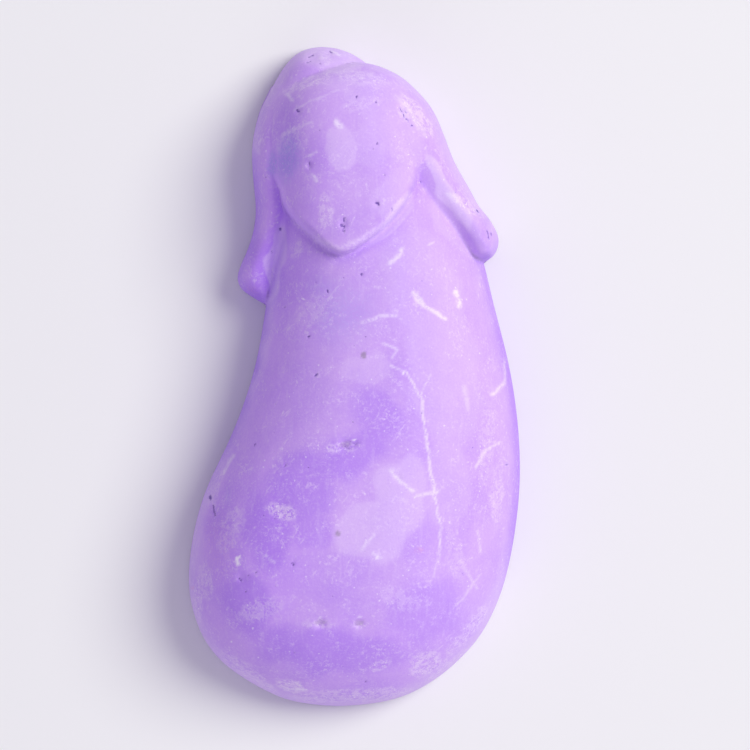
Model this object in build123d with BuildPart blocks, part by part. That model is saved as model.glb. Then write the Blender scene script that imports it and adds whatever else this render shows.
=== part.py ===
"""A moulded piece of chalk in the form of an aubergine, cast in one piece in an open mould.

The flat back, where the plaster was poured, lies on z = 0. The stem end points along +Y and the
crown along +Z. The origin is on the flat back, in the middle of the outline's length and width.
Every raised form is a hull, lofted through arched stations that stand on the flat back. A station
is (along, left, right, height): along is a share of the form's own run, left and right are shares
of half the width, and height is in millimetres.
"""

import os
from math import cos, pi, sin

from build123d import *

# Driving dimensions, in millimetres
length = 90.0  # from the foot of the fruit to the top of the stem
width = 45.2  # across the belly
belly_height = 21.0  # crown of the belly above the flat back
neck_height = 16.6  # crown of the fruit where it runs under the cap
cap_length = 28.7  # from the top of the stem to the tip of the middle leaf
cap_rise = 1.5  # how far the middle leaf stands proud of the fruit
leaf_height = 9.8  # ridge of the left leaf above the flat back
stem_length = 9.6  # from the top of the stem to where it ends inside the cap
stem_height = 10.4  # crown of the stem above the flat back

# Squareness of the arches: 2 is an ellipse, and more has fuller shoulders
fruit_squareness = 2.35
cap_squareness = 2.5

top = length / 2
foot = -length / 2
half_width = width / 2
dome_height = neck_height + cap_rise
arch_steps = 8


def arch_points(left, right, height, squareness):
    """Points of half a superellipse, from left to right over the crown."""
    middle = (left + right) / 2
    reach = (right - left) / 2
    points = []
    for step in range(arch_steps + 1):
        angle = pi - pi * step / arch_steps
        across = abs(cos(angle)) ** (2 / squareness)
        if cos(angle) < 0:
            across = -across
        up = max(sin(angle), 0.0) ** (2 / squareness)
        points.append((middle + reach * across, height * up))
    return points


def hull(stations, start, run, squareness):
    """A closed form lofted through arched stations, from start over run along Y."""
    with BuildPart() as form:
        for along, left, right, height in stations:
            with BuildSketch(Plane.XZ.offset(-(start + run * along))):
                with BuildLine():
                    left_foot = half_width * left
                    right_foot = half_width * right
                    points = arch_points(left_foot, right_foot, height, squareness)
                    crown = Spline(*points, tangents=((0, 1), (0, -1)))
                    Line(crown @ 1, crown @ 0)
                make_face()
        loft()
    return form.part


# The fruit is a pear whose left side is hollow and whose right side is full
fruit_stations = [
    (0.0, -0.142, -0.053, 0.05 * belly_height),
    (0.006, -0.336, 0.16, 0.2 * belly_height),
    (0.018, -0.482, 0.327, 0.34 * belly_height),
    (0.04, -0.646, 0.487, 0.5 * belly_height),
    (0.071, -0.81, 0.637, 0.66 * belly_height),
    (0.118, -0.934, 0.792, 0.82 * belly_height),
    (0.196, -1.0, 0.92, 0.95 * belly_height),
    (0.311, -0.92, 0.996, belly_height),
    (0.411, -0.735, 0.996, 0.985 * belly_height),
    (0.511, -0.597, 0.942, 0.93 * belly_height),
    (0.611, -0.527, 0.841, 0.86 * belly_height),
    (0.711, -0.469, 0.69, 1.04 * neck_height),
    (0.822, -0.411, 0.482, 0.96 * neck_height),
    (0.911, -0.332, 0.288, 0.7 * neck_height),
]

# The cap lies over the neck as a dome, and the middle leaf is a shield cut from it
dome_stations = [
    (0.094, -0.022, 0.097, 0.45 * dome_height),
    (0.115, -0.133, 0.195, 0.59 * dome_height),
    (0.153, -0.283, 0.292, 0.72 * dome_height),
    (0.209, -0.389, 0.372, 0.84 * dome_height),
    (0.286, -0.451, 0.451, 0.94 * dome_height),
    (0.39, -0.473, 0.504, 1.01 * dome_height),
    (0.505, -0.478, 0.531, 1.04 * dome_height),
    (0.627, -0.482, 0.566, 1.05 * dome_height),
    (0.749, -0.487, 0.611, 1.052 * dome_height),
    (0.871, -0.496, 0.664, 1.054 * dome_height),
    (0.993, -0.509, 0.726, 1.056 * dome_height),
    (1.115, -0.522, 0.788, 1.058 * dome_height),
]
shield_tip = (-0.084, 1.0)
shield_sides = [
    (-0.416, 0.76),
    (-0.513, 0.523),
    (-0.575, 0.209),
    (-0.265, -0.052),
    (0.354, -0.052),
    (0.619, 0.209),
    (0.496, 0.436),
    (0.385, 0.592),
    (0.354, 0.679),
    (0.274, 0.794),
    (0.106, 0.916),
]

# The right leaf runs out over the shoulder to a rounded tip
right_leaf_stations = [
    (0.174, 0.0, 0.319, 1.15 * leaf_height),
    (0.286, 0.088, 0.456, 1.36 * leaf_height),
    (0.39, 0.177, 0.527, 1.46 * leaf_height),
    (0.488, 0.243, 0.575, 1.49 * leaf_height),
    (0.571, 0.31, 0.619, 1.46 * leaf_height),
    (0.679, 0.381, 0.699, 1.39 * leaf_height),
    (0.76, 0.46, 0.752, 1.32 * leaf_height),
    (0.829, 0.54, 0.823, 1.25 * leaf_height),
    (0.906, 0.628, 0.874, 1.15 * leaf_height),
    (0.965, 0.699, 0.858, 1.02 * leaf_height),
    (1.003, 0.739, 0.823, 0.88 * leaf_height),
    (1.028, 0.761, 0.788, 0.6 * leaf_height),
]

# The left leaf is a narrow ridge down the side, which flares out at its tip
left_leaf_stations = [
    (0.226, -0.513, -0.265, 0.78 * leaf_height),
    (0.296, -0.558, -0.31, 0.9 * leaf_height),
    (0.39, -0.593, -0.363, 0.96 * leaf_height),
    (0.488, -0.611, -0.389, leaf_height),
    (0.627, -0.604, -0.394, leaf_height),
    (0.767, -0.588, -0.407, leaf_height),
    (0.871, -0.602, -0.434, 0.97 * leaf_height),
    (0.965, -0.637, -0.469, 0.94 * leaf_height),
    (1.045, -0.681, -0.496, 0.9 * leaf_height),
    (1.101, -0.697, -0.509, 0.86 * leaf_height),
    (1.15, -0.673, -0.496, 0.8 * leaf_height),
    (1.185, -0.615, -0.487, 0.74 * leaf_height),
    (1.213, -0.558, -0.478, 0.66 * leaf_height),
]

# The stub of the stem, whose left flank runs down into the left leaf
stem_stations = [
    (0.0, -0.221, -0.159, 0.14 * stem_height),
    (0.026, -0.274, -0.088, 0.33 * stem_height),
    (0.083, -0.332, -0.018, 0.54 * stem_height),
    (0.177, -0.385, 0.049, 0.73 * stem_height),
    (0.292, -0.42, 0.102, 0.87 * stem_height),
    (0.438, -0.46, 0.142, 0.96 * stem_height),
    (0.604, -0.496, 0.155, stem_height),
    (0.792, -0.535, 0.115, 0.99 * stem_height),
    (1.0, -0.562, 0.044, 0.95 * stem_height),
]

with BuildPart() as middle_leaf:
    add(hull(dome_stations, top, -cap_length, cap_squareness))
    with BuildSketch():
        with BuildLine():
            outline = [
                (half_width * across, top - cap_length * along)
                for across, along in [shield_tip, *shield_sides, shield_tip]
            ]
            Spline(*outline)
        make_face()
    extrude(amount=1.2 * dome_height, mode=Mode.INTERSECT)

# Cast as one: the cap, its leaves and the stem are forms of the same solid
with BuildPart() as chalk_aubergine:
    add(hull(fruit_stations, foot, length, fruit_squareness))
    add(hull(stem_stations, top, -stem_length, cap_squareness))
    add(hull(left_leaf_stations, top, -cap_length, cap_squareness))
    add(hull(right_leaf_stations, top, -cap_length, cap_squareness))
    add(middle_leaf.part)

chalk_aubergine.part.label = "chalk_aubergine"
os.makedirs("parts", exist_ok=True)
export_step(chalk_aubergine.part, "parts/chalk_aubergine.step")
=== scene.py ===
import math

import bmesh
import bpy
import numpy as np
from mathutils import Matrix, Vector


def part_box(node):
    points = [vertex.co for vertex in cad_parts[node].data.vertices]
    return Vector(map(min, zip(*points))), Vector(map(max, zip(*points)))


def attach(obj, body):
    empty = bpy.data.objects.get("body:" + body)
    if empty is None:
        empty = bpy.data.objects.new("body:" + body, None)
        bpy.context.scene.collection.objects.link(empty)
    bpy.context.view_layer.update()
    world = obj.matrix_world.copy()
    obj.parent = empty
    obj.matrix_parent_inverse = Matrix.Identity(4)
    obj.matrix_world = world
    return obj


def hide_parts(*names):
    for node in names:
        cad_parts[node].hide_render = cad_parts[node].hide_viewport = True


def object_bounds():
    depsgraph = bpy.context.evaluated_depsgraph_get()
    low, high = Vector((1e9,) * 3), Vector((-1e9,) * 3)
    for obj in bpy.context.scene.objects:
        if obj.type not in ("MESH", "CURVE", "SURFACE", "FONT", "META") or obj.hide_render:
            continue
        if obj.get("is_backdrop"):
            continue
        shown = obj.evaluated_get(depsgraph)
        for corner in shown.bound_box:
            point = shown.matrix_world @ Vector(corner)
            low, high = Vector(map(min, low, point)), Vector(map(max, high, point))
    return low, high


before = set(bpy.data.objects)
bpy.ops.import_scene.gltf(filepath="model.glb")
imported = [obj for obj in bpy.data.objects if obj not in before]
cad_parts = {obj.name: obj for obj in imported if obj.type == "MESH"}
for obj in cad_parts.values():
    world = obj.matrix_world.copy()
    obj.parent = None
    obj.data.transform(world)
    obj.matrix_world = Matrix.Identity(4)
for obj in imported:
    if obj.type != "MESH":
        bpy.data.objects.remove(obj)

cadLow, cadHigh = (list(corner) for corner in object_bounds())
low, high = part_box("chalk_aubergine")
halfWidth = (high[0] - low[0]) / 2
length = high[1] - low[1]
crown = high[2]
mm = 0.001


# camera, light and floor
studio = {
    "fieldWidth": 102.7,      # mm of the floor that fill the view from side to side
    "aim": (2.9, 0.2),        # mm from the middle of the piece
    "distance": 0.62,         # m, a long lens from straight above
    "keySpin": 25,            # degrees from +X towards +Y, where the key light stands
    "keyRise": 47,            # degrees above the floor
    "keyDistance": 1.6,
    "keySize": 0.98,
    "keyPower": 20.9,
    "fillSpin": 262,          # degrees, the weak light below the piece
    "fillRise": 28,
    "fillPower": 1.2,
    "skyColour": (0.85, 0.755, 1.05),
    "skyPower": 0.49,
    "floorColour": (0.825, 0.85, 0.82),
}


def makeCamera(s):
    # focal length = sensor width x distance / width of field
    data = bpy.data.cameras.new("camera")
    data.sensor_width = 36
    data.lens = 36 * s["distance"] / (s["fieldWidth"] * mm)
    data.dof.use_dof = False
    data.clip_start = 0.01
    camera = bpy.data.objects.new("camera", data)
    camera.location = (s["aim"][0] * mm, s["aim"][1] * mm, s["distance"])
    bpy.context.scene.collection.objects.link(camera)
    bpy.context.scene.camera = camera


def makeLight(name, spin, rise, distance, size, power, colour):
    # place = distance x (cos rise cos spin, cos rise sin spin, sin rise), turned to face the origin
    data = bpy.data.lights.new(name, "AREA")
    data.shape = "DISK"
    data.size = size
    data.energy = power
    data.color = colour
    light = bpy.data.objects.new(name, data)
    a, b = math.radians(spin), math.radians(rise)
    place = Vector((math.cos(b) * math.cos(a), math.cos(b) * math.sin(a), math.sin(b))) * distance
    light.location = place
    light.rotation_mode = "QUATERNION"
    light.rotation_quaternion = place.to_track_quat("Z", "Y")
    bpy.context.scene.collection.objects.link(light)


def makeStudio(s):
    makeCamera(s)
    makeLight("key", s["keySpin"], s["keyRise"], s["keyDistance"], s["keySize"], s["keyPower"], (1.0, 0.99, 0.905))
    makeLight("fill", s["fillSpin"], s["fillRise"], 0.9, 0.8, s["fillPower"], (0.95, 0.94, 1.0))
    world = bpy.data.worlds.new("sky")
    world.use_nodes = True
    background = world.node_tree.nodes["Background"]
    background.inputs["Color"].default_value = (*s["skyColour"], 1)
    background.inputs["Strength"].default_value = s["skyPower"]
    bpy.context.scene.world = world
    bpy.context.scene.view_settings.view_transform = "Standard"
    half = 2.0
    mesh = bpy.data.meshes.new("floor")
    corners = [(-half, -half, 0), (half, -half, 0), (half, half, 0), (-half, half, 0)]
    mesh.from_pydata(corners, [], [(0, 1, 2, 3)])
    material = bpy.data.materials.new("paperFloor")
    material.use_nodes = True
    shader = material.node_tree.nodes["Principled BSDF"]
    shader.inputs["Base Color"].default_value = (*s["floorColour"], 1)
    shader.inputs["Roughness"].default_value = 0.9
    shader.inputs["Specular IOR Level"].default_value = 0.2
    mesh.materials.append(material)
    floor = bpy.data.objects.new("floor", mesh)
    floor.location.z = cadLow[2] - 0.00002
    bpy.context.scene.collection.objects.link(floor)
    floor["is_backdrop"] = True


makeStudio(studio)
print("studio ready")


# the shape
# A station is (along, left, right, height). Along runs from the foot (0) to the top (1), left and
# right are shares of half the width, and height is a share of the crown. First and last stations
# have no width, so each form closes in a round end.
chalk = {
    "rows": 440,
    "columns": 208,
    "backColumns": 10,
    "edgeSteps": 3,
    "edgeRadius": 0.45,       # mm, worn corner between the wall and the flat back
    "squareness": 2.35,       # 2 is an ellipse, more has fuller shoulders
    "capSquareness": 2.5,
    "leafSquareness": 2.2,
    "grooveRadius": 1.1,      # mm, how softly forms run into each other
    "leftGroove": 3.4,        # times the groove radius, for the crease beside that leaf
    "rightGroove": 2.6,
    "leafEdge": 1.0,         # mm, width of the rounded step round the middle leaf
    "waviness": 0.10,         # mm, unevenness of the casting
    "footGroove": 0.22,       # mm, shallow line that the mould's cutter left at the foot of the middle leaf
    # chips and dents: (x, y, radius, depth) in mm
    "dents": [
        (-1.0, -9.1, 1.1, 0.30), (0.2, -8.9, 0.7, 0.22), (-4.4, -32.9, 1.0, 0.26), (0.8, -32.9, 0.8, 0.22), (7.1, 34.6, 1.2, 0.20),
        (6.3, 35.8, 0.7, 0.22), (18.1, 19.0, 1.1, 0.34), (-5.6, 43.0, 1.2, 0.24), (-3.2, 43.9, 0.8, 0.2), (-1.3, 20.3, 0.8, 0.22),
        (-5.9, 28.1, 0.6, 0.2), (-7.4, 35.4, 0.6, 0.2), (-19.0, -17.6, 0.8, 0.25), (3.1, 22.9, 0.5, 0.2), (-13.4, 26.0, 0.9, 0.16),
        (9.2, -38.4, 2.4, 0.12), (-8.6, -41.4, 2.0, 0.14), (-9.6, -17.8, 1.8, 0.12), (12.4, 24.4, 1.4, 0.12), (16.8, -33.4, 1.6, 0.14),
        (-14.9, -26.8, 0.9, 0.14), (5.9, -13.6, 0.8, 0.1), (8.6, 10.2, 0.7, 0.12), (13.9, 10.3, 0.6, 0.12),
    ],
    "fruit": [
        (0.0, -0.098, -0.098, 0.0), (0.0025, -0.24, 0.06, 0.12), (0.009, -0.385, 0.215, 0.26),
        (0.02, -0.50, 0.345, 0.37), (0.04, -0.646, 0.487, 0.50), (0.071, -0.81, 0.637, 0.66),
        (0.118, -0.934, 0.792, 0.82), (0.196, -1.0, 0.92, 0.95), (0.311, -0.92, 0.996, 1.0),
        (0.411, -0.735, 0.996, 0.985), (0.511, -0.597, 0.942, 0.93), (0.611, -0.527, 0.841, 0.86),
        (0.711, -0.469, 0.74, 0.822), (0.822, -0.411, 0.535, 0.76), (0.911, -0.332, 0.288, 0.55),
        (0.95, -0.2, 0.12, 0.30), (0.965, -0.03, -0.03, 0.0),
    ],
    "dome": [
        (0.974, 0.04, 0.04, 0.0), (0.9715, -0.02, 0.10, 0.36), (0.9655, -0.13, 0.19, 0.50),
        (0.952, -0.30, 0.295, 0.63), (0.934, -0.42, 0.375, 0.73), (0.91, -0.485, 0.455, 0.81),
        (0.877, -0.510, 0.51, 0.868), (0.84, -0.515, 0.535, 0.895), (0.80, -0.515, 0.565, 0.903),
        (0.76, -0.512, 0.605, 0.905), (0.72, -0.512, 0.655, 0.907), (0.683, -0.52, 0.715, 0.909),
        (0.64, -0.53, 0.77, 0.91), (0.62, -0.535, 0.8, 0.91),
    ],
    "rightLeaf": [
        (0.967, 0.12, 0.12, 0.0), (0.962, 0.05, 0.20, 0.40), (0.945, 0.0, 0.319, 0.56), (0.909, 0.07, 0.456, 0.655),
        (0.876, 0.14, 0.527, 0.70), (0.844, 0.20, 0.575, 0.715), (0.818, 0.255, 0.619, 0.712),
        (0.783, 0.34, 0.699, 0.69), (0.758, 0.42, 0.752, 0.665), (0.736, 0.50, 0.823, 0.635),
        (0.711, 0.59, 0.872, 0.595), (0.692, 0.655, 0.864, 0.535), (0.680, 0.70, 0.83, 0.45),
        (0.671, 0.77, 0.77, 0.0),
    ],
    "leftLeaf": [
        (0.945, -0.42, -0.42, 0.0), (0.94, -0.49, -0.36, 0.28), (0.928, -0.513, -0.26, 0.38), (0.906, -0.558, -0.27, 0.44),
        (0.876, -0.595, -0.31, 0.475), (0.844, -0.614, -0.33, 0.495), (0.80, -0.607, -0.33, 0.495),
        (0.755, -0.590, -0.34, 0.48), (0.722, -0.604, -0.37, 0.46), (0.692, -0.640, -0.41, 0.435),
        (0.667, -0.684, -0.44, 0.41), (0.649, -0.702, -0.45, 0.385), (0.633, -0.678, -0.45, 0.35),
        (0.622, -0.620, -0.44, 0.31), (0.612, -0.555, -0.43, 0.24), (0.607, -0.5, -0.5, 0.0),
    ],
    "stem": [
        (1.0, -0.19, -0.19, 0.0), (0.9985, -0.25, -0.125, 0.12), (0.994, -0.31, -0.055, 0.22),
        (0.985, -0.365, 0.02, 0.32), (0.969, -0.42, 0.102, 0.43), (0.953, -0.46, 0.142, 0.475),
        (0.936, -0.496, 0.155, 0.495), (0.916, -0.535, 0.115, 0.49), (0.893, -0.562, 0.044, 0.47),
        (0.87, -0.56, -0.1, 0.40), (0.855, -0.4, -0.4, 0.0),
    ],
    # corners of the middle leaf, round from its tip, as (across, along)
    "shield": [
        (-0.084, 0.681), (-0.26, 0.713), (-0.400, 0.750), (-0.470, 0.79), (-0.62, 0.85), (-0.70, 0.95), (-0.30, 1.05),
        (0.5, 1.05), (0.85, 0.95), (0.62, 0.862), (0.405, 0.815), (0.355, 0.782), (0.274, 0.746), (0.106, 0.706),
    ],
}


def runThrough(points, steps, closed=False):
    # Catmull-Rom curve: each span is a cubic in t whose slope at a point is half the step
    # between the points on either side of it
    p = np.array(points, float)
    if closed:
        before, start, end, after = np.roll(p, 1, 0), p, np.roll(p, -1, 0), np.roll(p, -2, 0)
    else:
        padded = np.vstack([2 * p[0] - p[1], p, 2 * p[-1] - p[-2]])
        before, start, end, after = padded[:-3], padded[1:-2], padded[2:-1], padded[3:]
    t = np.linspace(0, 1, steps, endpoint=False)[None, :, None]
    b, s, e, a = (q[:, None, :] for q in (before, start, end, after))
    curve = 0.5 * (2 * s + (e - b) * t + (2 * b - 5 * s + 4 * e - a) * t**2 + (3 * s - b - 3 * e + a) * t**3)
    curve = curve.reshape(-1, p.shape[1])
    return curve if closed else np.vstack([curve, p[-1]])


def readForm(stations, y):
    # left, right and height of one form at every y, in metres, and zero height outside its run
    curve = runThrough(stations, 24)
    soft = np.hanning(33)[1:-1]
    reach = len(soft) // 2
    before, after = 2 * curve[0] - curve[reach:0:-1], 2 * curve[-1] - curve[-2 : -reach - 2 : -1]
    padded = np.vstack([before, curve, after])
    curve = np.stack([np.convolve(column, soft / soft.sum(), mode="valid") for column in padded.T], 1)
    along = curve[:, 0]
    if along[0] > along[-1]:
        curve = curve[::-1]
        along = curve[:, 0]
    along = np.maximum.accumulate(along)
    where = low[1] + length * along
    left = np.interp(y, where, curve[:, 1]) * halfWidth
    right = np.interp(y, where, curve[:, 2]) * halfWidth
    height = np.interp(y, where, np.maximum(curve[:, 3], 0)) * crown
    outside = (y < where[0]) | (y > where[-1])
    return left, right, np.where(outside, 0, height), outside


def archHeight(x, left, right, height, squareness):
    # height x (1 - |share across|^n)^(1/n), and 0 outside the arch
    middle, reach = (left + right) / 2, np.maximum((right - left) / 2, 1e-7)
    share = np.clip(np.abs((x - middle) / reach), 0, 1)
    return height * (1 - share**squareness) ** (1 / squareness)


def blendMax(a, b, radius):
    # the larger of two, rounded where they are within the radius of each other
    gap = np.clip(radius - np.abs(a - b), 0, None)
    return np.maximum(a, b) + gap**2 / (4 * radius)


def distanceTo(loop, x, y):
    # distance to a closed outline, positive inside it
    a, b = loop, np.roll(loop, -1, 0)
    nearest = np.full(x.shape, 1e9)
    inside = np.zeros(x.shape, bool)
    for (ax, ay), (bx, by) in zip(a, b):
        ux, uy = bx - ax, by - ay
        t = np.clip(((x - ax) * ux + (y - ay) * uy) / (ux * ux + uy * uy + 1e-18), 0, 1)
        nearest = np.minimum(nearest, np.hypot(x - ax - t * ux, y - ay - t * uy))
        crossed = ((ay > y) != (by > y)) & (x < ux * (y - ay) / (by - ay + 1e-18) + ax)
        inside ^= crossed
    return np.where(inside, nearest, -nearest)


def ease(t):
    # 3 t^2 - 2 t^3 between 0 and 1
    t = np.clip(t, 0, 1)
    return t * t * (3 - 2 * t)


def waves(x, y, seed, size, layers=5):
    # a sum of sine waves in seeded directions, about -1 to 1, whose features are size mm across
    rng = np.random.default_rng(seed)
    total = np.zeros_like(x)
    for k in range(layers):
        turn, phase = rng.uniform(0, 2 * math.pi, 2)
        rate = 2 * math.pi / (size * mm * rng.uniform(0.7, 1.5))
        total += np.sin(rate * (x * math.cos(turn) + y * math.sin(turn)) + phase + 0.5 * np.sin(total))
    return total / layers


def outlineAt(c, y):
    # the outermost left and right of all the forms, rounded where two of them meet
    big = 1.0
    left, right = np.full_like(y, big), np.full_like(y, -big)
    for name in ("fruit", "dome", "rightLeaf", "leftLeaf", "stem"):
        l, r, h, outside = readForm(c[name], y)
        l, r = np.where(outside, big, l), np.where(outside, -big, r)
        left = -blendMax(-left, -l, 0.7 * mm)
        right = blendMax(right, r, 0.7 * mm)
    return left, right


def topHeight(c, x, y):
    # the raised side of the piece as one height over the back
    def form(name, squareness):
        l, r, h, outside = readForm(c[name], y[:, 0])
        return archHeight(x, l[:, None], r[:, None], h[:, None], squareness)

    groove = c["grooveRadius"] * mm
    fruit = form("fruit", c["squareness"])
    shield = runThrough(c["shield"], 10, closed=True) * (halfWidth, length) + (0, low[1])
    edge = distanceTo(shield, x, y)
    step = np.clip((edge + 0.15 * mm) / (c["leafEdge"] * mm), 0, 1)
    rise = np.sqrt(1 - (1 - step) ** 2) ** 1.15
    dome = form("dome", c["capSquareness"])
    z = fruit + np.clip(dome - fruit, 0, None) * rise
    below = ease((0.805 - (y - low[1]) / length) / 0.03)      # the groove ends where the side leaves start
    z = z - c["footGroove"] * mm * np.exp(-(((edge / mm + 0.45) / 0.5) ** 2)) * ease(z / (9 * mm)) * below
    z = blendMax(z, form("leftLeaf", c["leafSquareness"]), groove * c["leftGroove"])
    z = blendMax(z, form("rightLeaf", c["capSquareness"]), groove * c["rightGroove"])
    z = blendMax(z, form("stem", c["capSquareness"]), groove)
    for dx, dy, radius, depth in c["dents"]:
        away = np.hypot(x / mm - dx, y / mm - dy) / radius
        uneven = away * (1 + 0.25 * waves(x, y, 77, 0.9))
        z = z - depth * mm * ease(1.15 - uneven) * ease(z / (2 * mm))
    return z, np.exp(-(((edge / mm + 0.45) / 0.75) ** 2)) * below


def weldedMesh(name, points, quads, attributes):
    mesh = bpy.data.meshes.new(name)
    mesh.vertices.add(len(points))
    mesh.vertices.foreach_set("co", points.astype(np.float32).ravel())
    mesh.loops.add(quads.size)
    mesh.loops.foreach_set("vertex_index", quads.astype(np.int32).ravel())
    mesh.polygons.add(len(quads))
    mesh.polygons.foreach_set("loop_start", np.arange(0, quads.size, 4, dtype=np.int32))
    mesh.update()
    for key, values in attributes.items():
        mesh.attributes.new(key, "FLOAT", "POINT").data.foreach_set("value", values.astype(np.float32).ravel())
    shape = bmesh.new()
    shape.from_mesh(mesh)
    bmesh.ops.remove_doubles(shape, verts=shape.verts, dist=2e-6)
    bmesh.ops.dissolve_degenerate(shape, edges=shape.edges, dist=1e-7)
    bmesh.ops.recalc_face_normals(shape, faces=shape.faces)
    shape.to_mesh(mesh)
    shape.free()
    mesh.shade_smooth()
    return mesh


def makeChalk(c):
    # rows crowd together towards both ends, so that the ends are round:
    # spacing = 1 - 0.97 e^(-share / 0.03) at each end
    share = np.linspace(0, 1, c["rows"] - 1)
    spacing = (1 - 0.97 * np.exp(-share / 0.03)) * (1 - 0.97 * np.exp((share - 1) / 0.03))
    along = np.concatenate([[0], np.cumsum(spacing)]) / spacing.sum()
    y = low[1] + length * along
    left, right = outlineAt(c, y)
    left[0] = right[0] = (left[1] + right[1]) / 2
    left[-1] = right[-1] = (left[-2] + right[-2]) / 2

    # the raised side: x = middle - reach cos(angle), z = height over (x, y)
    angle = np.linspace(0, math.pi, c["columns"])
    spread = -(0.8 * np.cos(angle) + 0.2 * (1 - 2 * angle / math.pi))
    middle, reach = (left + right) / 2, (right - left) / 2
    x = middle[:, None] + reach[:, None] * spread[None, :]
    yy = np.repeat(y[:, None], c["columns"], 1)
    z, foot = topHeight(c, x, yy)
    worn = c["edgeRadius"] * mm
    z = z + waves(x, yy, 5, 11) * c["waviness"] * mm * ease(z / (4 * mm)) + waves(x, yy, 9, 3.2) * 0.022 * mm * ease(z / (2 * mm))
    z = worn + z * (crown - worn) / crown
    z[0, :] = z[-1, :] = worn

    # the worn corner: a quarter circle that tucks under along the outline's normal
    def normals(side, sign):
        slope = np.gradient(side, y)
        slope = np.convolve(np.pad(slope, 3, mode="edge"), np.ones(7) / 7, mode="valid")
        size = np.hypot(1, slope)
        return sign / size, -sign * slope / size

    turns = np.linspace(0, math.pi / 2, c["edgeSteps"] + 1)[1:]
    tuck, drop = worn * (1 - np.cos(turns)), worn * (1 - np.sin(turns))
    nxL, nyL = normals(left, -1)
    nxR, nyR = normals(right, 1)
    nxL[0], nyL[0], nxR[0], nyR[0] = 0, -1, 0, -1
    nxL[-1], nyL[-1], nxR[-1], nyR[-1] = 0, 1, 0, 1
    rimLeft = np.stack([left[:, None] - nxL[:, None] * tuck, y[:, None] - nyL[:, None] * tuck, drop + 0 * left[:, None]], -1)
    rimRight = np.stack([right[:, None] - nxR[:, None] * tuck, y[:, None] - nyR[:, None] * tuck, drop + 0 * right[:, None]], -1)
    top = np.stack([x, yy, z], -1)

    # the flat back runs from the left corner's last ring to the right corner's
    t = np.linspace(0, 1, c["backColumns"] + 2)[1:-1][None, :, None]
    back = rimRight[:, -1:, :] * (1 - t) + rimLeft[:, -1:, :] * t
    section = np.concatenate([top, rimRight, back, rimLeft[:, ::-1, :]], 1)
    rows, around = section.shape[:2]
    index = np.arange(rows * around).reshape(rows, around)
    here, across = index[:-1], np.roll(index, -1, 1)[:-1]
    above, aboveAcross = index[1:], np.roll(index, -1, 1)[1:]
    quads = np.stack([here, across, aboveAcross, above], -1).reshape(-1, 4)

    # masks for the finish: distance from the outline in mm, and the foot of the middle leaf, where shade is painted
    px, py, pz = (section[..., k] for k in range(3))
    rim = np.zeros((rows, around))
    toLeft = (x - left[:, None]) * np.abs(nxL)[:, None]
    toRight = (right[:, None] - x) * np.abs(nxR)[:, None]
    rim[:, : c["columns"]] = np.minimum(np.minimum(toLeft, toRight), np.minimum(yy - y[0], y[-1] - yy)) / mm
    leafFootShade = np.zeros((rows, around))
    leafFootShade[:, : c["columns"]] = foot
    mesh = weldedMesh("chalk", section.reshape(-1, 3), quads, {"rim": rim, "leafFootShade": leafFootShade})
    piece = bpy.data.objects.new("chalk", mesh)
    bpy.context.scene.collection.objects.link(piece)
    return piece


piece = makeChalk(chalk)
print("shape ready:", len(piece.data.polygons), "faces")

# the finish
finish = {
    "body": (0.605, 0.392, 0.855),      # the lilac plaster
    # painted shade: a saturated violet for the shaded left side and the bottom
    "shade_violet": (0.64, 0.365, 0.99),
    "deep_and_shade": (0.38, 0.17, 0.84),         # darker violet tone of the plaster, and painted shade on the shaded left side, the bottom, creases and edges
    "dust": (0.70, 0.54, 0.90),         # grey lilac dust on the rim
    "pale": (0.80, 0.65, 0.94),         # rubbed and scraped plaster, also painted light on the lit right side and in creases
    "white": (0.93, 0.87, 0.99),
    # painted shade: the dark inside of pits and pinholes
    "pit": (0.15, 0.075, 0.40),
    "grey": (0.30, 0.24, 0.34),
    "blue": (0.24, 0.26, 0.78),
    "pink": (0.75, 0.30, 0.55),
}

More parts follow.
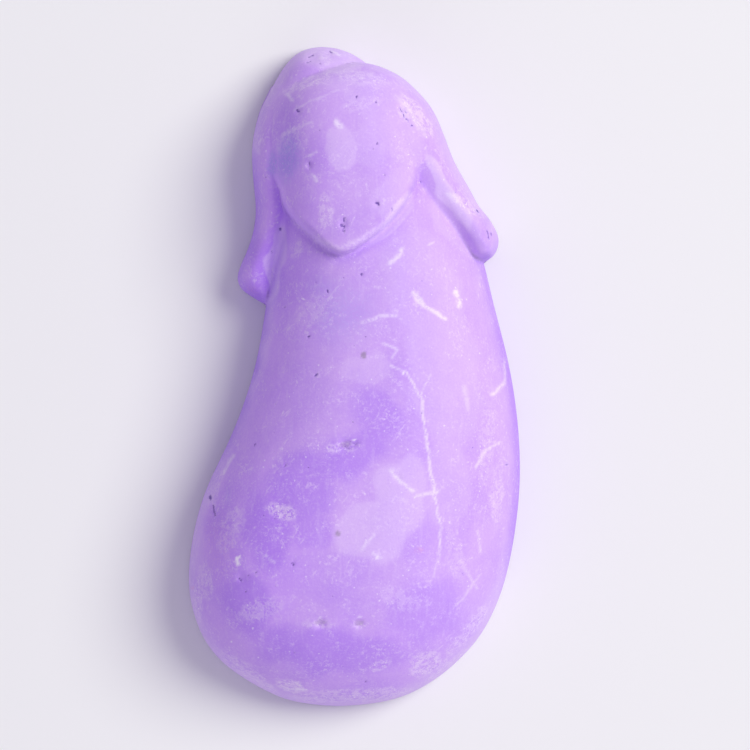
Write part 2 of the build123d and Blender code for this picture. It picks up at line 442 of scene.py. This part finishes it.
# every mark is (x, y, half length, half width, turn in degrees, strength), in mm on the piece
patches = {
    # darker blotches across the body, and painted shade on the left wall of the neck and leaves, the left of the dome,
    # the lower left side and the bottom
    "deep_and_shade": [
        (3.4, -5.0, 3.0, 3.8, 30, 0.55), (0.0, -10.2, 5.4, 3.0, 34, 0.62), (-6.6, -13.2, 4.4, 3.0, 12, 0.65),
        (-7.0, -16.2, 4.2, 3.2, 0, 0.65),
        (-5.6, -20.2, 3.0, 3.2, 30, 0.55), (-11.6, -20.4, 3.2, 5.0, 10, 0.65), (-14.0, -30.4, 3.2, 5.0, 14, 0.6),
        (-3.0, -36.6, 9.5, 3.0, -6, 0.6),
        (-7.2, 13.5, 2.8, 4.5, -10, 0.25), (-9.3, 32.0, 2.0, 5.6, -6, 0.2), (-16.5, -24.0, 2.6, 6.0, 10, 0.35),
        (-14.2, 6.0, 2.6, 14.0, -14, 0.65), (-12.6, 15.5, 1.2, 3.4, 8, 0.4), (-15.4, 25.5, 2.0, 8.0, 0, 0.5),
        (10.0, -31.0, 5.0, 4.0, 30, 0.42), (-3.0, -26.0, 6.0, 3.4, 10, 0.25),
    ],
    # paler blotches on the body, the cap and near the stem, and painted light on the lit right side, in the crease
    # beside the left leaf, on the right leaf's wall and along the lower right lip of the middle leaf
    "light": [
        (6.4, -15.8, 3.6, 5.2, -8, 0.62), (3.4, -20.2, 5.6, 3.8, 12, 0.6), (12.0, 2.0, 4.5, 12.0, 8, 0.34), (12.5, -14.0, 3.0, 6.0, 0, 0.3),
        (5.5, 33.5, 3.6, 6.0, 18, 0.34), (9.0, 12.0, 5.0, 8.0, 15, 0.3), (1.5, 1.2, 2.6, 2.2, 0, 0.35), (14.0, 20.0, 5.0, 2.2, -50, 0.35),
        (5.0, 24.5, 2.2, 4.0, -30, 0.3), (-10.4, 16.0, 1.1, 5.4, -8, 0.95), (-3.5, 43.0, 4.2, 2.2, -10, 0.6),
        (12.6, 24.6, 6.0, 1.0, -59, 0.9), (2.5, 30.6, 2.6, 3.2, 0, 0.3), (5.2, 20.8, 4.2, 0.9, 48, 0.8),
        (2.0, 38.6, 5.0, 2.0, -8, 0.35),
    ],
    # painted shade: a saturated violet over the shaded left side and along the bottom
    "shade_violet": [(-11.5, 12.0, 6.0, 26.0, -6, 0.9), (-15.0, -22.0, 8.0, 17.0, 8, 0.8), (0.0, -38.0, 14.0, 6.0, 0, 0.5)],
    # outer bands on the right side and the left neck: the rim dust is left out there, and painted shade darkens the
    # wall
    "undusted_shaded_edge": [(21.4, -6.0, 2.6, 22.0, 2, 1.0), (18.6, 12.0, 2.4, 9.0, 16, 0.8), (-15.0, 10.0, 3.2, 22.0, -8, 0.9), (-19.0, -8.0, 2.6, 6.0, -24, 0.6)],
    "worn": [(-1.6, 30.4, 2.15, 3.1, 6, 0.62)],
    "dusty": [
        (0.5, -43.2, 9.0, 1.1, 2, 0.55), (-13.8, -40.4, 5.0, 1.0, -40, 0.55), (12.6, -40.2, 5.0, 1.2, 40, 0.5),
        (-21.0, -30.0, 0.9, 5.0, -12, 0.5),
        (-6.2, 39.4, 3.8, 0.9, 18, 0.55), (1.4, 39.9, 3.6, 1.0, -6, 0.45), (-3.7, 22.0, 0.9, 2.4, 6, 0.55),
        (-7.6, 17.1, 0.9, 1.2, 0, 0.5), (15.4, 22.9, 3.0, 0.9, -24, 0.55), (-9.5, -17.9, 2.1, 1.0, -18, 0.8),
        (9.6, -38.7, 2.3, 1.7, 30, 0.75), (3.6, -38.7, 1.5, 0.65, 24, 0.6), (-8.3, -41.8, 2.2, 0.9, -12, 0.85),
        (-15.6, -39.3, 3.0, 1.0, -38, 0.5), (-19.8, -27.5, 0.9, 2.6, 8, 0.5), (-8.2, 31.6, 2.4, 1.6, 30, 0.35),
        (-13.2, 33.0, 0.8, 3.0, 4, 0.5), (-1.6, -9.5, 2.6, 0.6, 4, 0.6), (17.8, -9.0, 1.2, 5.5, -4, 0.3),
        (8.6, 35.0, 3.4, 1.0, -52, 0.7), (16.5, -33.0, 2.6, 1.0, 52, 0.5), (-3.9, 42.9, 1.2, 0.7, -30, 0.6),
        (-18.6, -14.0, 1.0, 3.2, -18, 0.45), (13.5, -24.0, 1.2, 3.6, 12, 0.25), (-4.6, -33.0, 1.9, 0.55, 0, 0.5),
        (0.9, -33.0, 1.3, 0.5, 0, 0.5), (6.8, 35.2, 1.2, 0.7, -55, 0.5), (-12.2, -31.0, 3.4, 1.4, 20, 0.4),
        (-16.4, -20.5, 1.4, 3.4, -24, 0.4),
        (-5.0, 9.0, 3.2, 1.6, 30, 0.35), (6.0, -29.5, 3.0, 1.4, -20, 0.3), (19.2, -16.0, 0.9, 4.0, 0, 0.45),
        (1.0, 36.2, 2.6, 0.8, 10, 0.35), (-11.6, 39.0, 0.8, 1.6, -30, 0.5), (10.2, 38.0, 1.2, 1.0, -40, 0.3),
        (14.0, -36.0, 2.0, 0.9, 48, 0.5),
    ],
    "blue": [(-8.8, 29.2, 1.4, 2.8, -8, 0.75), (-10.8, 28.6, 0.7, 1.6, 0, 0.7), (-1.4, 8.2, 3.8, 3.4, 20, 0.26), (-3.6, 11.8, 2.4, 1.6, 0, 0.2), (-16.8, -16.0, 0.4, 1.2, 0, 0.2)],
    "pink": [(-18.0, -22.5, 2.0, 4.5, 10, 0.16), (-21.8, -28.7, 0.25, 0.25, 0, 0.8), (8.8, -23.0, 0.5, 0.35, 0, 0.4), (-14.2, 11.4, 1.0, 0.8, 20, 0.25)],
    "grey": [(1.4, 2.8, 0.36, 0.42, 0, 0.9), (-2.1, -20.8, 0.34, 0.36, 0, 0.9), (-1.0, -9.0, 0.9, 0.35, 12, 0.5), (-4.3, -32.7, 0.8, 0.4, 0, 0.4), (0.8, -32.7, 0.6, 0.35, 0, 0.4)],
}

# strokes are (x, y) to (x, y), half width and strength
strokes = {
    "scratch": [
        (4.9, 1.6, 7.1, 0.6, 0.13, 0.7), (7.1, 0.6, 9.0, -2.9, 0.14, 0.8), (9.0, -2.9, 10.1, -11.4, 0.15, 0.85),
        (10.1, -11.4, 10.7, -15.3, 0.19, 0.9), (10.7, -15.3, 11.6, -20.1, 0.15, 0.8), (11.6, -20.1, 11.4, -23.6, 0.14, 0.65),
        (11.4, -23.6, 10.8, -26.6, 0.11, 0.4), (10.1, 0.2, 9.1, -2.4, 0.10, 0.6), (8.4, -15.7, 11.3, -15.3, 0.22, 0.7),
        (8.1, 11.0, 9.4, 9.4, 0.28, 0.9), (9.4, 9.4, 12.3, 7.7, 0.22, 0.9), (13.7, 11.3, 13.8, 10.8, 0.3, 1.0),
        (14.0, 10.0, 14.1, 9.4, 0.32, 1.0), (6.6, 16.9, 4.9, 15.1, 0.3, 0.8), (1.2, 7.2, 3.4, 8.0, 0.2, 0.7),
        (3.4, 8.0, 5.7, 8.1, 0.26, 0.7), (5.1, -12.5, 6.3, -14.0, 0.26, 0.95), (6.3, -14.0, 7.9, -15.1, 0.2, 0.85),
        (4.0, 4.4, 5.9, 3.6, 0.16, 0.6), (5.9, 3.6, 5.2, 2.4, 0.14, 0.5), (18.6, -2.4, 20.3, -1.0, 0.26, 0.7),
        (20.3, -1.0, 20.6, 2.2, 0.2, 0.55), (16.3, -12.1, 17.7, -9.9, 0.22, 0.6), (17.7, -9.9, 19.6, -9.0, 0.18, 0.6),
        (14.8, -1.4, 15.2, -4.3, 0.3, 0.35), (16.6, -20.6, 17.1, -23.8, 0.12, 0.5), (14.2, -24.6, 16.6, -28.5, 0.12, 0.45),
        (-17.7, -13.2, -16.2, -10.6, 0.2, 0.6), (-11.9, -23.8, -10.5, -24.6, 0.12, 0.6), (1.1, -23.0, 1.9, -21.8, 0.18, 0.6),
        (1.9, -21.8, 2.8, -20.9, 0.16, 0.6), (2.7, -23.4, 3.6, -24.0, 0.18, 0.6), (-8.0, 35.8, -1.9, 38.2, 0.14, 0.4),
        (-9.4, 32.4, -5.6, 33.9, 0.2, 0.4), (-5.9, 29.4, -5.0, 30.0, 0.2, 0.6), (-2.3, 33.8, -1.8, 33.4, 0.36, 0.9),
        (-5.6, 26.6, -4.9, 26.0, 0.22, 0.6), (5.6, 37.5, 7.6, 35.4, 0.3, 0.3), (7.6, 35.4, 9.6, 32.2, 0.36, 0.35),
        (-9.3, -42.2, -6.8, -42.4, 0.2, 0.7), (13.4, -31.0, 17.0, -26.5, 0.14, 0.4), (-3.0, 44.0, -1.9, 43.4, 0.16, 0.6),
        (12.7, 24.6, 13.9, 23.4, 0.3, 0.6), (10.0, 17.6, 10.8, 18.0, 0.16, 0.5), (-8.9, 38.0, -8.2, 36.9, 0.22, 0.6),
    ],
    "edge": [
        (-9.4, 23.0, -7.6, 20.4, 0.3, 0.25), (-7.6, 20.4, -5.0, 18.3, 0.3, 0.3), (-5.0, 18.3, -2.0, 17.0, 0.36, 0.5),
        (-2.0, 17.0, 1.2, 18.1, 0.4, 0.55), (1.2, 18.1, 4.4, 20.4, 0.4, 0.65), (4.4, 20.4, 6.4, 23.4, 0.36, 0.6),
    ],
    "pit": [
        (0.4, 37.3, 0.4, 37.2, 0.16, 1.0), (3.0, 36.6, 3.0, 36.5, 0.15, 1.0), (4.1, 26.8, 4.1, 26.7, 0.13, 0.9),
        (3.2, 31.0, 3.2, 30.9, 0.11, 0.8), (3.1, 23.0, 3.3, 22.8, 0.17, 1.0), (-9.9, 19.9, -9.9, 19.8, 0.17, 1.0),
        (-11.0, 16.9, -11.0, 16.8, 0.12, 0.8), (1.1, 13.6, 1.1, 13.5, 0.17, 1.0), (-3.4, 11.4, -3.4, 11.3, 0.15, 1.0),
        (-5.9, 5.4, -5.9, 5.3, 0.13, 0.9), (-4.9, 0.3, -5.1, 0.0, 0.12, 0.9), (-1.2, 21.0, -1.3, 20.6, 0.13, 0.9),
        (-1.6, 20.1, -1.2, 19.9, 0.16, 1.0), (-1.4, 19.4, -1.1, 19.3, 0.12, 0.9), (9.0, 26.1, 9.0, 26.0, 0.1, 0.7),
        (-7.5, 35.6, -7.2, 35.3, 0.15, 0.9), (-5.9, 28.6, -5.8, 27.7, 0.1, 0.85), (-9.0, -11.8, -9.0, -11.9, 0.14, 0.9),
        (-13.2, -9.1, -13.2, -9.2, 0.15, 0.9), (-19.4, -16.2, -19.3, -16.5, 0.2, 1.0), (-18.9, -17.4, -18.6, -18.6, 0.15, 0.9),
        (-19.6, -15.2, -19.6, -15.3, 0.14, 0.8), (-15.2, -27.0, -15.0, -27.2, 0.13, 0.9), (-14.0, -26.6, -13.9, -26.7, 0.1, 0.7),
        (-13.0, -26.0, -12.9, -26.2, 0.11, 0.8), (-14.4, -28.6, -14.3, -28.7, 0.12, 0.8), (-11.9, -30.6, -11.8, -30.6, 0.1, 0.7),
        (-8.1, -24.8, -7.9, -25.1, 0.15, 0.9), (-7.7, -24.4, -7.7, -24.5, 0.1, 0.7), (-8.0, -36.9, -8.0, -37.0, 0.12, 0.8),
        (1.6, -41.0, 1.6, -41.1, 0.13, 0.9), (-6.1, 43.2, -5.4, 43.5, 0.09, 0.8), (-6.3, 42.4, -5.8, 42.6, 0.09, 0.7),
        (-4.6, 42.2, -4.4, 42.1, 0.1, 0.7),
        (-3.2, 44.1, -2.9, 43.9, 0.13, 0.8), (6.2, 35.8, 6.5, 35.3, 0.1, 0.8), (6.7, 35.0, 6.8, 34.7, 0.12, 0.9),
        (7.0, 34.5, 7.3, 34.2, 0.1, 0.8), (7.7, 33.6, 7.8, 33.6, 0.12, 0.9), (6.9, 35.4, 7.1, 35.2, 0.08, 0.7),
        (17.9, 19.6, 18.2, 18.5, 0.11, 0.8), (18.5, 19.3, 18.6, 18.9, 0.1, 0.7), (16.6, 22.3, 16.7, 22.1, 0.15, 1.0),
        (-0.4, -8.7, 0.5, -9.0, 0.13, 0.6),
        (-1.3, -9.3, -0.7, -9.4, 0.12, 0.6), (-5.1, -33.0, -4.2, -32.9, 0.12, 0.5), (0.3, -33.0, 0.9, -33.0, 0.12, 0.5),
        (7.9, -30.6, 7.9, -30.7, 0.11, 0.8), (8.9, -32.0, 8.9, -32.1, 0.1, 0.7), (14.6, -26.4, 14.7, -26.6, 0.12, 0.6),
        (15.9, -9.3, 15.9, -9.4, 0.1, 0.7), (20.6, -11.8, 20.6, -11.9, 0.1, 0.7), (-13.4, 23.0, -13.3, 24.6, 0.1, 0.6),
        (-5.1, 12.6, -5.1, 12.6, 0.1, 0.7), (2.6, 30.2, 2.6, 30.2, 0.09, 0.6), (5.2, 21.8, 5.1, 22.4, 0.1, 0.6),
        (-9.2, 9.4, -9.2, 9.3, 0.1, 0.6), (-16.5, -31.0, -16.4, -31.1, 0.1, 0.7), (-10.4, -18.9, -10.4, -19.0, 0.1, 0.6),
    ],
    "fleck": [
        (-15.5, -24.2, -15.4, -25.0, 0.22, 1.0), (-15.1, -24.0, -15.1, -24.0, 0.16, 0.9), (0.1, -8.4, 0.1, -8.4, 0.16, 1.0),
        (-4.3, -32.0, -4.3, -32.0, 0.13, 1.0), (0.9, -31.9, 0.9, -31.9, 0.15, 1.0), (3.2, -24.0, 3.3, -24.0, 0.14, 0.9),
        (-6.7, 10.4, -6.7, 10.4, 0.13, 0.9), (6.6, 0.5, 6.6, 0.4, 0.14, 0.9), (-16.4, -35.6, -16.4, -35.6, 0.12, 0.8),
        (-14.2, 1.2, -14.2, 1.2, 0.14, 0.8), (-17.3, -8.8, -17.3, -8.8, 0.14, 0.7),
    ],
}


def newGroup(name, inputs, outputs):
    # a shader group with named sockets: inputs are (name, kind, value), outputs are (name, kind)
    group = bpy.data.node_groups.new(name, "ShaderNodeTree")
    for label, kind, value in inputs:
        socket = group.interface.new_socket(name=label, in_out="INPUT", socket_type="NodeSocket" + kind)
        if value is not None:
            socket.default_value = value
    for label, kind in outputs:
        group.interface.new_socket(name=label, in_out="OUTPUT", socket_type="NodeSocket" + kind)
    return group, group.nodes.new("NodeGroupInput"), group.nodes.new("NodeGroupOutput")


def link(tree, source, target):
    tree.links.new(source, target)


def mathNode(tree, operation, first, second=None, third=None, clamp=False):
    node = tree.nodes.new("ShaderNodeMath")
    node.operation = operation
    node.use_clamp = clamp
    for slot, value in enumerate((first, second, third)):
        if value is None:
            continue
        if isinstance(value, (int, float)):
            node.inputs[slot].default_value = value
        else:
            link(tree, value, node.inputs[slot])
    return node.outputs[0]


def vectorNode(tree, operation, first, second=None):
    node = tree.nodes.new("ShaderNodeVectorMath")
    node.operation = operation
    for slot, value in enumerate((first, second)):
        if value is None:
            continue
        if isinstance(value, tuple):
            node.inputs[slot].default_value = value
        else:
            link(tree, value, node.inputs[slot])
    return node


def stepNode(tree, value, start, end):
    # eased step from 0 at start to 1 at end
    node = tree.nodes.new("ShaderNodeMapRange")
    node.interpolation_type = "SMOOTHSTEP"
    link(tree, value, node.inputs["Value"])
    for label, number in (("From Min", start), ("From Max", end)):
        if isinstance(number, (int, float)):
            node.inputs[label].default_value = number
        else:
            link(tree, number, node.inputs[label])
    return node.outputs["Result"]


def noiseNode(tree, vector, scale, detail=4.0, roughness=0.55, output="Fac"):
    node = tree.nodes.new("ShaderNodeTexNoise")
    link(tree, vector, node.inputs["Vector"])
    for label, value in (("Scale", scale), ("Detail", detail), ("Roughness", roughness)):
        if isinstance(value, (int, float)):
            node.inputs[label].default_value = value
        else:
            link(tree, value, node.inputs[label])
    return node.outputs[output]


def mixColour(tree, amount, first, second):
    node = tree.nodes.new("ShaderNodeMix")
    node.data_type = "RGBA"
    link(tree, amount, node.inputs["Factor"])
    for slot, value in ((6, first), (7, second)):
        if isinstance(value, tuple):
            node.inputs[slot].default_value = (*value, 1)
        else:
            link(tree, value, node.inputs[slot])
    return node.outputs[2]


def makeSpeckGroup():
    # one round speck in some of the cells of a Voronoi pattern, with its own size
    group, inside, outside = newGroup(
        "specks",
        [("Vector", "Vector", None), ("Spacing", "Float", 1.0), ("Size", "Float", 0.1), ("Share", "Float", 0.3)],
        [("Mask", "Float")],
    )
    cells = group.nodes.new("ShaderNodeTexVoronoi")
    link(group, inside.outputs["Vector"], cells.inputs["Vector"])
    link(group, mathNode(group, "DIVIDE", 1.0, inside.outputs["Spacing"]), cells.inputs["Scale"])
    split = group.nodes.new("ShaderNodeSeparateColor")
    link(group, cells.outputs["Color"], split.inputs[0])
    chosen = mathNode(group, "LESS_THAN", split.outputs[0], inside.outputs["Share"])
    size = mathNode(group, "MULTIPLY", inside.outputs["Size"], mathNode(group, "ADD", split.outputs[1], 0.4))
    size = mathNode(group, "DIVIDE", size, inside.outputs["Spacing"])
    dot = stepNode(group, cells.outputs["Distance"], size, mathNode(group, "MULTIPLY", size, 0.45))
    link(group, mathNode(group, "MULTIPLY", dot, chosen), outside.inputs["Mask"])
    return group


def makeGrainGroup():
    # cloudy, fine and drawn-out noise of powdery plaster, each about 0 to 1
    group, inside, outside = newGroup(
        "plasterGrain",
        [("Vector", "Vector", None), ("Cloud Size", "Float", 8.0), ("Grain Size", "Float", 0.3)],
        [("Cloud", "Float"), ("Grain", "Float"), ("Streak", "Float")],
    )
    vector = inside.outputs["Vector"]
    cloud = noiseNode(group, vector, mathNode(group, "DIVIDE", 1.0, inside.outputs["Cloud Size"]), 5, 0.6)
    grain = noiseNode(group, vector, mathNode(group, "DIVIDE", 1.0, inside.outputs["Grain Size"]), 3, 0.7)
    drawn = vectorNode(group, "MULTIPLY", vector, (1.6, 0.22, 0.6)).outputs[0]
    streak = noiseNode(group, drawn, 1.0, 5, 0.65)
    link(group, cloud, outside.inputs["Cloud"])
    link(group, grain, outside.inputs["Grain"])
    link(group, streak, outside.inputs["Streak"])
    return group


def useGroup(tree, group, values):
    node = tree.nodes.new("ShaderNodeGroup")
    node.node_tree = group
    for label, value in values.items():
        socket = node.inputs[label]
        if hasattr(value, "links"):
            link(tree, value, socket)
        else:
            socket.default_value = value
    return node


def patchMask(kind, x, y, softness):
    # strength x step of the distance from the centre, in units of the half sizes, seen from above
    mask = np.zeros_like(x)
    for cx, cy, a, b, turn, strength in patches[kind]:
        t = math.radians(turn)
        u = ((x - cx) * math.cos(t) + (y - cy) * math.sin(t)) / a
        v = ((y - cy) * math.cos(t) - (x - cx) * math.sin(t)) / b
        mask = np.maximum(mask, strength * ease((1 + softness - np.hypot(u, v)) / (2 * softness)))
    return mask


def strokeMask(kind, x, y, softness):
    # strength x step of the distance from the line between start and end, seen from above
    mask = np.zeros_like(x)
    for ax, ay, bx, by, width, strength in strokes[kind]:
        run = (bx - ax) ** 2 + (by - ay) ** 2 + 1e-9
        t = np.clip(((x - ax) * (bx - ax) + (y - ay) * (by - ay)) / run, 0, 1)
        away = np.hypot(x - ax - t * (bx - ax), y - ay - t * (by - ay)) / width
        mask = np.maximum(mask, strength * ease((1 + softness - away) / (2 * softness)))
    return mask


def wander(x, y, seed, size, amount):
    # x and y pushed about by waves of that size, in mm, so that marks have uneven edges
    return (x + amount * waves(x * mm, y * mm, seed, size, 9), y + amount * waves(x * mm, y * mm, seed + 1, size, 9))


def paintMarks(piece):
    # writes one mask a kind of mark into the mesh, 0 on the flat back
    mesh = piece.data
    place = np.empty(len(mesh.vertices) * 3, np.float32)
    mesh.vertices.foreach_get("co", place)
    x, y, z = place.reshape(-1, 3).astype(float).T * 1000
    normals = np.empty(len(mesh.vertices) * 3, np.float32)
    mesh.vertex_normals.foreach_get("vector", normals)
    raised = ease(z / 0.4) * ease(normals.reshape(-1, 3)[:, 2] / 0.35)      # marks fade out down the walls
    bx, by = wander(x, y, 21, 7.0, 1.6)
    fx, fy = wander(x, y, 31, 1.6, 0.30)
    hx, hy = wander(*wander(x, y, 41, 2.6, 0.30), 47, 0.9, 0.10)
    masks = {
        "worn": patchMask("worn", fx, fy, 0.12),
        "dusty": patchMask("dusty", *wander(fx, fy, 51, 0.9, 0.34), 0.26),
        "blue": patchMask("blue", fx, fy, 0.7),
        "pink": patchMask("pink", fx, fy, 0.7),
        "grey": patchMask("grey", fx, fy, 0.3),
        "edge": strokeMask("edge", hx, hy, 0.8),
        "scratch": strokeMask("scratch", hx, hy, 0.85),
        "pit": strokeMask("pit", *wander(x, y, 61, 0.75, 0.2), 0.7),
        "fleck": strokeMask("fleck", x, y, 0.6),
    }
    masks = {name: values * raised for name, values in masks.items()}
    # broad tones: darker and paler blotches, painted shade and painted light
    for name, softness in (("deep_and_shade", 0.35), ("light", 0.16), ("shade_violet", 0.6), ("undusted_shaded_edge", 0.4)):
        masks[name] = patchMask(name, bx, by, softness) * ease(z / 0.4)      # broad tones run on down the walls
    for name, values in masks.items():
        mesh.attributes.new(name, "FLOAT", "POINT").data.foreach_set("value", values.astype(np.float32))


def makeChalkMaterial(f):
    material = bpy.data.materials.new("lilacChalk")
    material.use_nodes = True
    tree = material.node_tree
    shader = tree.nodes["Principled BSDF"]
    place = tree.nodes.new("ShaderNodeTexCoord").outputs["Object"]
    point = vectorNode(tree, "MULTIPLY", place, (1000, 1000, 1000)).outputs[0]      # mm

    # ragged copies of the place, so that marks have uneven edges
    def ragged(size, amount):
        push = noiseNode(tree, point, 1 / size, 3, 0.6, "Color")
        push = vectorNode(tree, "SUBTRACT", push, (0.5, 0.5, 0.5)).outputs[0]
        push = vectorNode(tree, "MULTIPLY", push, (amount, amount, amount)).outputs[0]
        return vectorNode(tree, "ADD", point, push).outputs[0]

    broad, fine = ragged(3.5, 3.4), ragged(0.7, 0.55)
    speckGroup, grainGroup = makeSpeckGroup(), makeGrainGroup()
    grain = useGroup(tree, grainGroup, {"Vector": point, "Cloud Size": 9.0, "Grain Size": 0.32})
    cloud, powder, streak = (grain.outputs[label] for label in ("Cloud", "Grain", "Streak"))

    def attribute(name):
        node = tree.nodes.new("ShaderNodeAttribute")
        node.attribute_name = name
        return node.outputs["Fac"]

    def times(a, b):
        return mathNode(tree, "MULTIPLY", a, b)

    # broad colour: darker and paler blotches of the casting, painted shade on the shaded left side, the left walls and
    # the bottom, and painted light on the lit right side and in creases
    darkAndShadeMask = attribute("deep_and_shade")
    paleAndPaintedLightMask = mathNode(tree, "MAXIMUM", attribute("light"), attribute("worn"))
    cloudStep = stepNode(tree, cloud, 0.38, 0.66)
    colour = mixColour(tree, times(attribute("shade_violet"), 0.8), f["body"], f["shade_violet"])
    colour = mixColour(tree, times(cloudStep, 0.22), colour, f["deep_and_shade"])
    colour = mixColour(tree, times(darkAndShadeMask, 0.74), colour, f["deep_and_shade"])
    colour = mixColour(tree, times(paleAndPaintedLightMask, 0.55), colour, f["pale"])
    colour = mixColour(tree, times(stepNode(tree, streak, 0.52, 0.72), 0.16), colour, f["pale"])

    # painted shade darkens the crease at the foot of the middle leaf; its edge gets a paler line further down
    colour = mixColour(tree, times(attribute("leafFootShade"), 0.22), colour, f["deep_and_shade"])

    # dust on the rim and rubbed patches
    rim = attribute("rim")
    rimNoise = mathNode(tree, "ADD", rim, mathNode(tree, "MULTIPLY", mathNode(tree, "SUBTRACT", cloud, 0.5), 3.0))
    rimMask = times(stepNode(tree, rimNoise, 2.2, 0.3), mathNode(tree, "SUBTRACT", 1.0, attribute("undusted_shaded_edge")))
    colour = mixColour(tree, times(rimMask, 0.45), colour, f["dust"])
    broken = stepNode(tree, noiseNode(tree, point, 1.3, 7, 0.78), 0.45, 0.54)
    dusty = times(attribute("dusty"), broken)
    colour = mixColour(tree, times(dusty, 0.9), colour, f["pale"])
    flakes = stepNode(tree, noiseNode(tree, point, 3.4, 4, 0.6), 0.60, 0.64)
    near = mathNode(tree, "ADD", times(attribute("dusty"), 0.9), times(stepNode(tree, cloud, 0.50, 0.66), 0.28))
    colour = mixColour(tree, times(flakes, mathNode(tree, "MINIMUM", near, 1.0)), colour, f["white"])
    shade = times(attribute("undusted_shaded_edge"), stepNode(tree, rim, 1.7, 0.2))      # painted shade: the outer band of the wall is darkened where the rim dust is left out
    colour = mixColour(tree, times(shade, 0.6), colour, f["deep_and_shade"])
    scuffField = stepNode(tree, noiseNode(tree, broad, 0.26, 7, 0.78), 0.47, 0.60)
    scuffs = times(scuffField, stepNode(tree, noiseNode(tree, point, 1.9, 6, 0.8), 0.50, 0.60))
    colour = mixColour(tree, times(scuffs, 0.55), colour, f["pale"])
    # smears drawn out by rubbing in a box, broken by the grain
    slanted = tree.nodes.new("ShaderNodeVectorRotate")
    slanted.rotation_type = "Z_AXIS"
    slanted.inputs["Angle"].default_value = math.radians(32)
    link(tree, fine, slanted.inputs["Vector"])
    drawn = vectorNode(tree, "MULTIPLY", slanted.outputs[0], (1.5, 0.30, 1.0)).outputs[0]
    smears = stepNode(tree, noiseNode(tree, drawn, 1.0, 6, 0.72), 0.585, 0.67)
    smears = times(smears, stepNode(tree, noiseNode(tree, point, 0.16, 3, 0.6), 0.44, 0.62))
    colour = mixColour(tree, times(smears, 0.5), colour, f["pale"])

    # stains, scratches, painted shade in pits and pinholes, and flecks
    colour = mixColour(tree, times(attribute("blue"), stepNode(tree, powder, 0.25, 0.75)), colour, f["blue"])
    colour = mixColour(tree, times(attribute("pink"), stepNode(tree, powder, 0.3, 0.8)), colour, f["pink"])
    colour = mixColour(tree, times(attribute("grey"), 0.8), colour, f["grey"])
    edges = times(attribute("edge"), stepNode(tree, powder, 0.2, 0.6))
    colour = mixColour(tree, times(edges, 0.85), colour, f["pale"])
    chalky = stepNode(tree, noiseNode(tree, point, 1.6, 5, 0.7), 0.28, 0.56)
    scratches = times(attribute("scratch"), chalky)
    colour = mixColour(tree, times(scratches, 0.74), colour, f["white"])
    dust = useGroup(tree, speckGroup, {"Vector": fine, "Spacing": 0.8, "Size": 0.12, "Share": 0.34}).outputs[0]
    colour = mixColour(tree, times(dust, 0.5), colour, f["white"])
    pinholes = useGroup(tree, speckGroup, {"Vector": fine, "Spacing": 1.5, "Size": 0.115, "Share": 0.17}).outputs[0]
    pits = mathNode(tree, "MAXIMUM", attribute("pit"), times(pinholes, 0.6))
    colour = mixColour(tree, stepNode(tree, pits, 0.2, 1.0), colour, f["pit"])
    colour = mixColour(tree, attribute("fleck"), colour, f["white"])
    colour = mixColour(tree, times(stepNode(tree, powder, 0.48, 0.78), 0.26), colour, f["pale"])
    colour = mixColour(tree, times(stepNode(tree, powder, 0.46, 0.25), 0.16), colour, f["deep_and_shade"])
    link(tree, colour, shader.inputs["Base Color"])

    # roughness: powder is dull, rubbed plaster is a little smoother
    roughness = mathNode(tree, "SUBTRACT", 0.92, times(paleAndPaintedLightMask, 0.12))
    link(tree, roughness, shader.inputs["Roughness"])
    shader.inputs["Specular IOR Level"].default_value = 0.3
    shader.inputs["Sheen Weight"].default_value = 0.12
    shader.inputs["Sheen Roughness"].default_value = 0.5

    # fine relief: grain, pits that go in, and scuffs that stand out a hair
    height = times(powder, 0.25)
    height = mathNode(tree, "ADD", height, times(cloud, 0.6))
    height = mathNode(tree, "ADD", height, times(dusty, 0.12))
    height = mathNode(tree, "SUBTRACT", height, times(pits, 1.1))
    height = mathNode(tree, "ADD", height, times(scratches, 0.2))
    bump = tree.nodes.new("ShaderNodeBump")
    bump.inputs["Strength"].default_value = 0.55
    bump.inputs["Distance"].default_value = 0.00016
    link(tree, height, bump.inputs["Height"])
    link(tree, bump.outputs[0], shader.inputs["Normal"])
    return material


paintMarks(piece)
print("marks ready")
piece.data.materials.append(makeChalkMaterial(finish))
print("finish ready")

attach(piece, "root")
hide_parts("chalk_aubergine")

bpy.context.view_layer.update()
